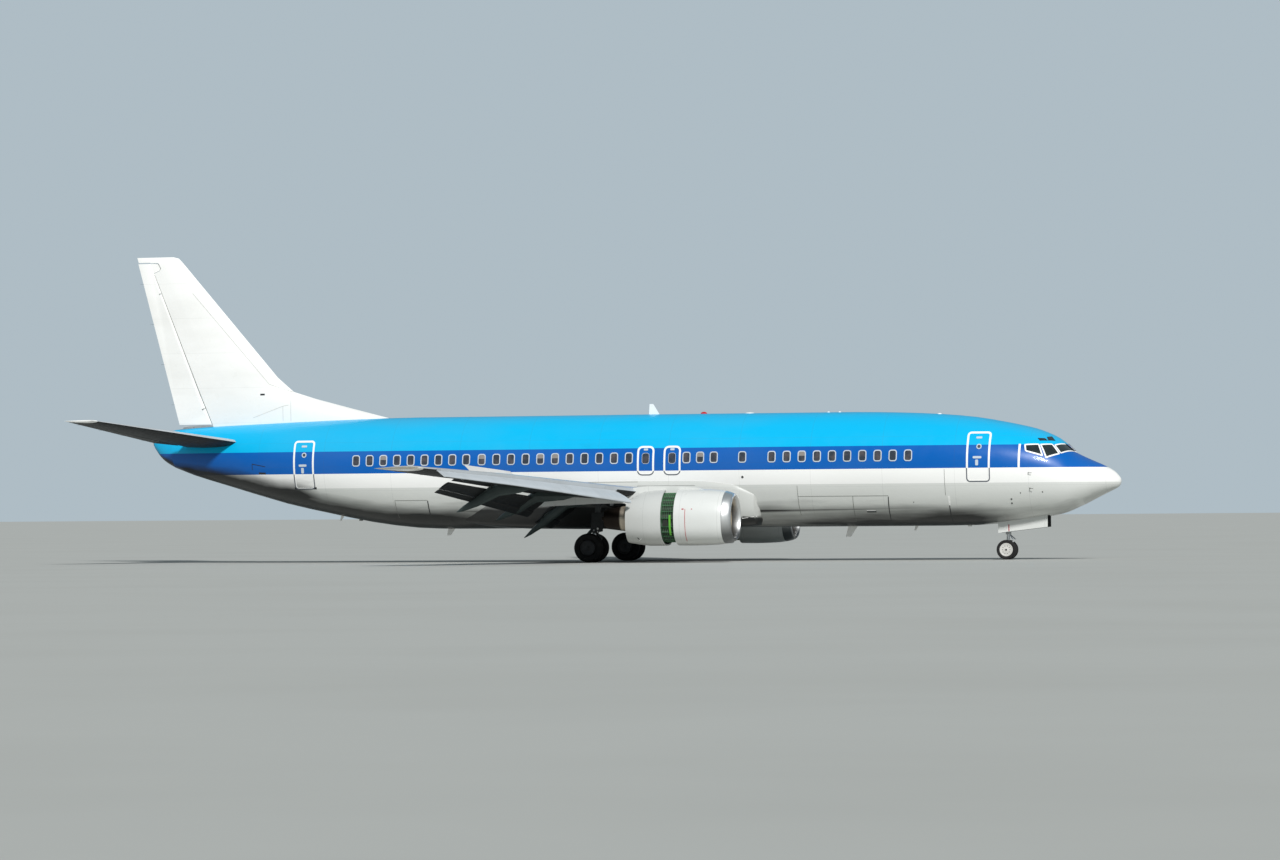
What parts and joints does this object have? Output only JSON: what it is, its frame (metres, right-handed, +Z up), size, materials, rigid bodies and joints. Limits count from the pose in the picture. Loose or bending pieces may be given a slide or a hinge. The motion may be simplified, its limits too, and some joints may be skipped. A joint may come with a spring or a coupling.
{
  "type": "narrow-body airliner",
  "caption": "Twin-engined low-wing jet airliner on its landing gear, with slats and flaps down, spoilers up and reverser sleeves slid aft.",
  "frame": {"origin": "on the ground under the middle of the overall length, in the plane of symmetry", "axes": "+X forward to the nose, +Y to the left wing, +Z up"},
  "size_m": [36.45, 28.88, 11.13],
  "materials": {
    "fuselage_paint": "gloss paint",
    "lower_paint": "gloss paint",
    "white_paint": "gloss paint",
    "wing_paint": "satin paint",
    "bare_aluminium": "polished",
    "green_primer": "matt primer",
    "dark_metal": "heat stained",
    "gear_enamel": "gloss enamel",
    "tyre_rubber": "matt"
  },
  "bodies": {
    "airframe": {"radome": "white_paint", "fuselage": "fuselage_paint", "tail_cone": "fuselage_paint", "belly_fairing": "lower_paint", "wing_left": "wing_paint", "wing_right": "wing_paint", "slats_left": "wing_paint", "slats_right": "wing_paint", "nose_flaps_left": "wing_paint", "nose_flaps_right": "wing_paint", "flap_outboard_left": "wing_paint", "flap_outboard_right": "wing_paint", "flap_inboard_left": "wing_paint", "flap_inboard_right": "wing_paint", "fin": "white_paint", "stabiliser_left": "wing_paint", "stabiliser_right": "wing_paint", "inlet_lip_left": "bare_aluminium", "inlet_lip_right": "bare_aluminium", "fan_cowl_left": "white_paint", "fan_cowl_right": "white_paint", "reverser_cascades_left": "green_primer", "reverser_cascades_right": "green_primer", "engine_core_left": "dark_metal", "engine_core_right": "dark_metal", "pylon_left": "wing_paint", "pylon_right": "wing_paint", "main_gear_leg_left": "gear_enamel", "main_gear_leg_right": "gear_enamel", "nose_gear_leg": "gear_enamel", "nose_gear_door_left": "lower_paint", "nose_gear_door_right": "lower_paint", "roof_aerial": "white_paint"},
    "left_main_wheels": {"main_tyre_outer_left": "tyre_rubber", "main_tyre_inner_left": "tyre_rubber", "main_wheels_left": "gear_enamel"},
    "right_main_wheels": {"main_tyre_outer_right": "tyre_rubber", "main_tyre_inner_right": "tyre_rubber", "main_wheels_right": "gear_enamel"},
    "nose_steering_part": {"nose_gear_fork": "gear_enamel"},
    "nose_wheel_pair": {"nose_tyre_outer": "tyre_rubber", "nose_tyre_inner": "tyre_rubber", "nose_wheels": "gear_enamel"},
    "left_fan": {"fan_left": "dark_metal"},
    "right_fan": {"fan_right": "dark_metal"},
    "left_reverser": {"reverser_sleeve_left": "white_paint"},
    "right_reverser": {"reverser_sleeve_right": "white_paint"},
    "left_spoilers": {"spoilers_left": "wing_paint"},
    "right_spoilers": {"spoilers_right": "wing_paint"},
    "left_aileron": {"aileron_left": "wing_paint"},
    "right_aileron": {"aileron_right": "wing_paint"},
    "left_elevator": {"elevator_left": "wing_paint"},
    "right_elevator": {"elevator_right": "wing_paint"},
    "rudder_part": {"rudder": "white_paint"}
  },
  "joints": [
    {"name": "left_main_wheels_roll", "type": "hinge", "parent": "airframe", "child": "left_main_wheels", "pos_m": [-0.05, 2.615, 0.508], "axis": [0, 1, 0], "continuous": true},
    {"name": "right_main_wheels_roll", "type": "hinge", "parent": "airframe", "child": "right_main_wheels", "pos_m": [-0.05, -2.615, 0.508], "axis": [0, 1, 0], "continuous": true},
    {"name": "nose_steering", "type": "hinge", "parent": "airframe", "child": "nose_steering_part", "pos_m": [14.26, 0, 0.934], "axis": [0, 0, 1], "range_deg": [-78, 78]},
    {"name": "nose_wheels_roll", "type": "hinge", "parent": "nose_steering_part", "child": "nose_wheel_pair", "pos_m": [14.22, 0, 0.343], "axis": [0, 1, 0], "continuous": true},
    {"name": "left_fan_spin", "type": "hinge", "parent": "airframe", "child": "left_fan", "pos_m": [4.6, 4.83, 1.53], "axis": [1, 0, 0], "continuous": true},
    {"name": "right_fan_spin", "type": "hinge", "parent": "airframe", "child": "right_fan", "pos_m": [4.6, -4.83, 1.53], "axis": [1, 0, 0], "continuous": true},
    {"name": "left_reverser_slide", "type": "slide", "parent": "airframe", "child": "left_reverser", "axis": [1, 0, 0], "range_m": [0, 0.45]},
    {"name": "right_reverser_slide", "type": "slide", "parent": "airframe", "child": "right_reverser", "axis": [1, 0, 0], "range_m": [0, 0.45]},
    {"name": "left_spoilers_swing", "type": "hinge", "parent": "airframe", "child": "left_spoilers", "pos_m": [-1.30026, 7.15, 2.74235], "axis": [-0.3384, 0.9377, 0.0785], "range_deg": [-54, 0]},
    {"name": "right_spoilers_swing", "type": "hinge", "parent": "airframe", "child": "right_spoilers", "pos_m": [-1.30026, -7.15, 2.74235], "axis": [0.3384, 0.9377, -0.0785], "range_deg": [-54, 0]},
    {"name": "left_aileron_swing", "type": "hinge", "parent": "airframe", "child": "left_aileron", "pos_m": [-2.56968, 10.46, 2.96019], "axis": [-0.3334, 0.9403, 0.0685], "range_deg": [-20, 20]},
    {"name": "right_aileron_swing", "type": "hinge", "parent": "airframe", "child": "right_aileron", "pos_m": [-2.56968, -10.46, 2.96019], "axis": [0.3334, 0.9403, -0.0685], "range_deg": [-20, 20]},
    {"name": "left_elevator_swing", "type": "hinge", "parent": "airframe", "child": "left_elevator", "pos_m": [-15.89888, 1, 4.36433], "axis": [-0.3504, 0.928, 0.1268], "range_deg": [-17, 21]},
    {"name": "right_elevator_swing", "type": "hinge", "parent": "airframe", "child": "right_elevator", "pos_m": [-15.89888, -1, 4.36433], "axis": [0.3504, 0.928, -0.1268], "range_deg": [-17, 21]},
    {"name": "rudder_swing", "type": "hinge", "parent": "airframe", "child": "rudder_part", "pos_m": [-14.968, 0, 4.987], "axis": [-0.3666, 0, 0.9304], "range_deg": [-26, 26]}
  ],
  "couplings": [
    {"joint": "right_aileron_swing", "follows": "left_aileron_swing", "ratio": -1},
    {"joint": "right_elevator_swing", "follows": "left_elevator_swing", "ratio": 1}
  ]
}
